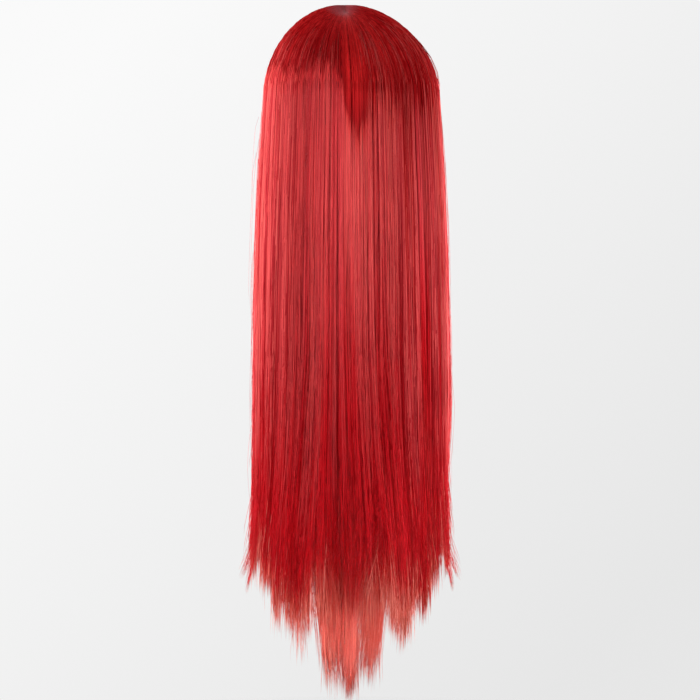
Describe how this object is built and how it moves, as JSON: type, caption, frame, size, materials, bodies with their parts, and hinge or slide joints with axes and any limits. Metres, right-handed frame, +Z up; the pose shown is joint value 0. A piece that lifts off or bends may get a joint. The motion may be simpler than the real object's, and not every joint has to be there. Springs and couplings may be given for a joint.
{
  "type": "long straight wig",
  "caption": "Long straight wig: a net cap with a near-centre parting, from which smooth hair falls round the back and sides to a layered cut that is longest in the middle.",
  "frame": {"origin": "inside of the cap at the crown, where the top of the head meets it", "axes": "+Z up, -Y towards the face, +X towards the wearer's left"},
  "size_m": [0.2074, 0.1897, 0.6968],
  "materials": {
    "net": "matt elastic net",
    "scalp": "matt skin-like cloth",
    "hair": "glossy synthetic fibre",
    "under_hair": "glossy synthetic fibre"
  },
  "bodies": {
    "root": {"cap": "net", "parting": "scalp", "hair_back": "hair", "hair_left": "hair", "hair_right": "hair", "hair_nape": "under_hair"}
  },
  "joints": []
}
